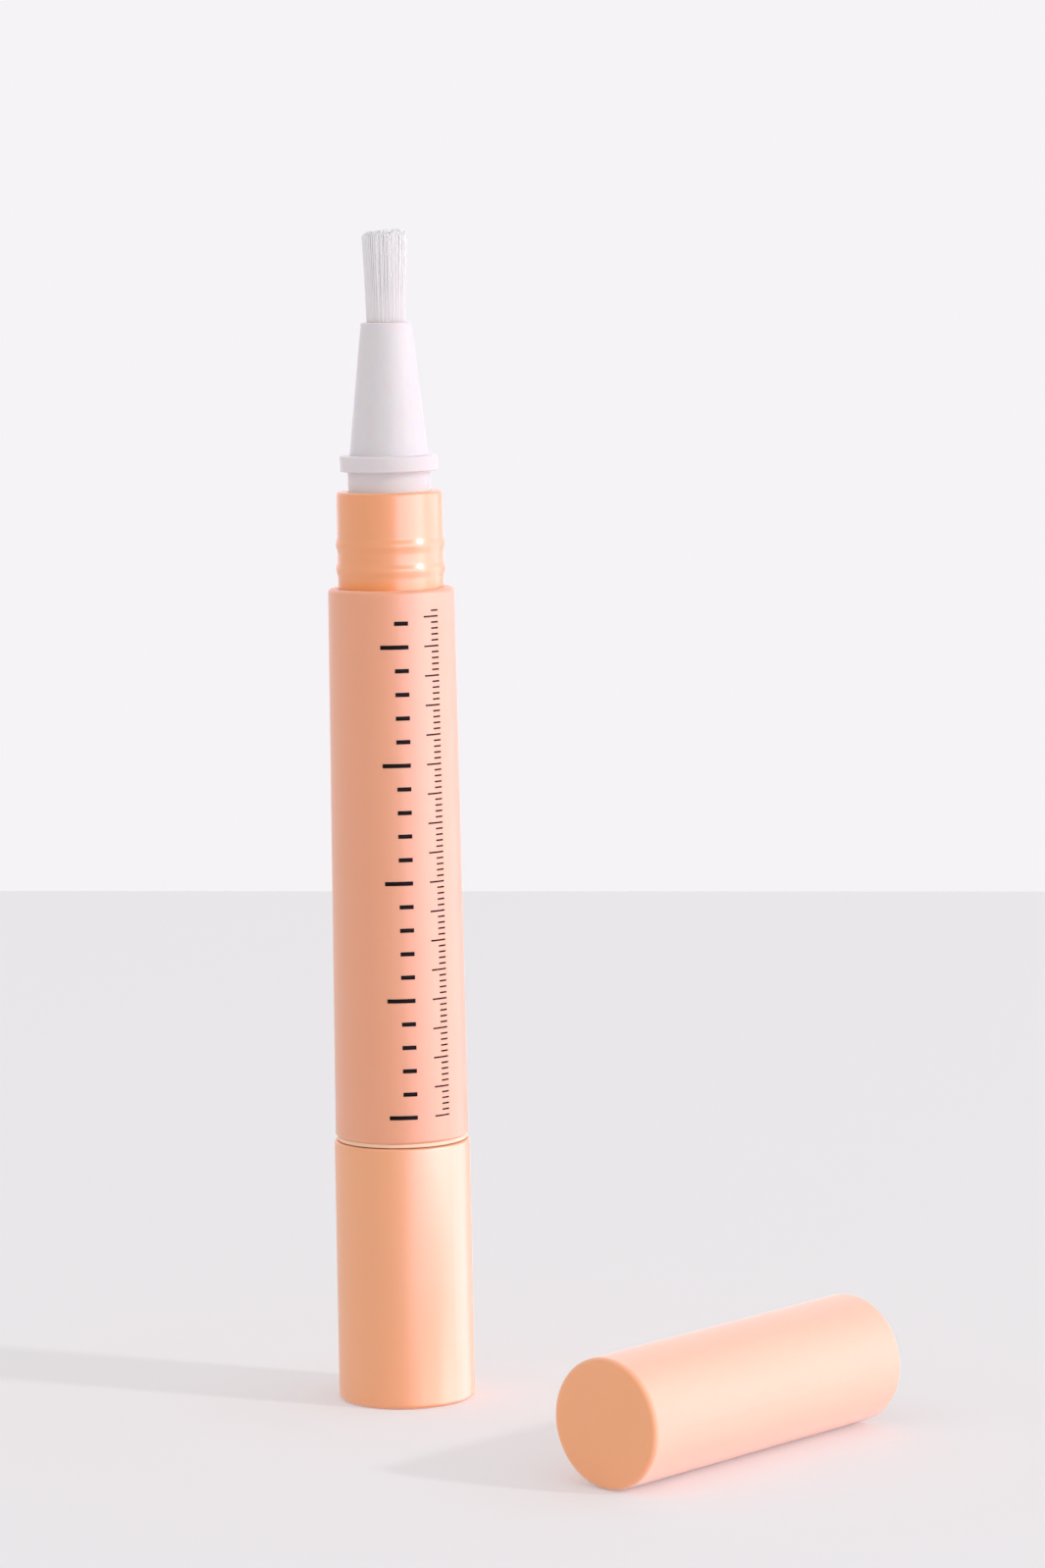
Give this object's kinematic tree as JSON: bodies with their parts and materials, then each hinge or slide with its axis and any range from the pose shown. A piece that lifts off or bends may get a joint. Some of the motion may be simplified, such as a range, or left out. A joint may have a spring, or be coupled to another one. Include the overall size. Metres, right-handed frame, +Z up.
{
  "type": "nail oil pen",
  "caption": "Slim round twist pen for nail oil: turning knob at the foot, tapered nozzle with a brush tip at the top, and a pull-off cap lying beside it.",
  "frame": {"origin": "centre of the knob's flat foot, on which the pen stands", "axes": "+Z up the pen's axis to the brush tip; the loose cap lies at +X with its mouth towards +Y"},
  "size_m": [0.0474, 0.0316, 0.1002],
  "materials": {
    "sleeve": "soft matt peach pink",
    "cap": "soft matt peach pink",
    "knob": "satin peach orange",
    "neck": "glossy peach orange",
    "nozzle": "translucent white",
    "bristle": "pale nylon strands",
    "inner_plastic": "natural plastic",
    "drive_plastic": "slippery moulded plastic",
    "seal": "dark rubber",
    "steel": "stainless steel"
  },
  "bodies": {
    "barrel": {"outer_sleeve": "sleeve", "reservoir": "neck", "nozzle": "nozzle", "bristle_tuft": "bristle", "feed_tube": "steel", "tuft_bush": "inner_plastic", "flow_plug": "inner_plastic", "nozzle_seal": "seal", "tail_tube": "inner_plastic", "screw_nut": "drive_plastic", "ratchet_crown": "drive_plastic", "retaining_ring": "steel"},
    "knob": {"knob": "knob", "driver_tube": "drive_plastic", "ratchet_spring": "steel"},
    "screw": {"lead_screw": "drive_plastic"},
    "piston": {"piston": "inner_plastic", "piston_seals": "seal"},
    "ratchet": {"ratchet_slider": "drive_plastic"},
    "cap": {"cap": "cap"}
  },
  "joints": [
    {"name": "knob_turn", "type": "hinge", "parent": "barrel", "child": "knob", "pos_m": [0, 0, 0], "axis": [0, 0, 1], "range_deg": [0, 4680]},
    {"name": "screw_advance", "type": "slide", "parent": "knob", "child": "screw", "axis": [0, 0, 1], "range_m": [0, 0.026]},
    {"name": "piston_advance", "type": "slide", "parent": "barrel", "child": "piston", "axis": [0, 0, 1], "range_m": [0, 0.026]},
    {"name": "ratchet_click", "type": "slide", "parent": "knob", "child": "ratchet", "axis": [0, 0, 1], "range_m": [0, 0.0006], "deforming": ["ratchet_spring"]},
    {"name": "cap_lift", "type": "slide", "parent": "barrel", "child": "cap", "axis": [0, 0, 1], "range_m": [0, 0.105]}
  ],
  "couplings": [
    {"joint": "knob_turn", "follows": "piston_advance", "rad_per_m": 3141.6},
    {"joint": "screw_advance", "follows": "piston_advance", "ratio": 1}
  ]
}
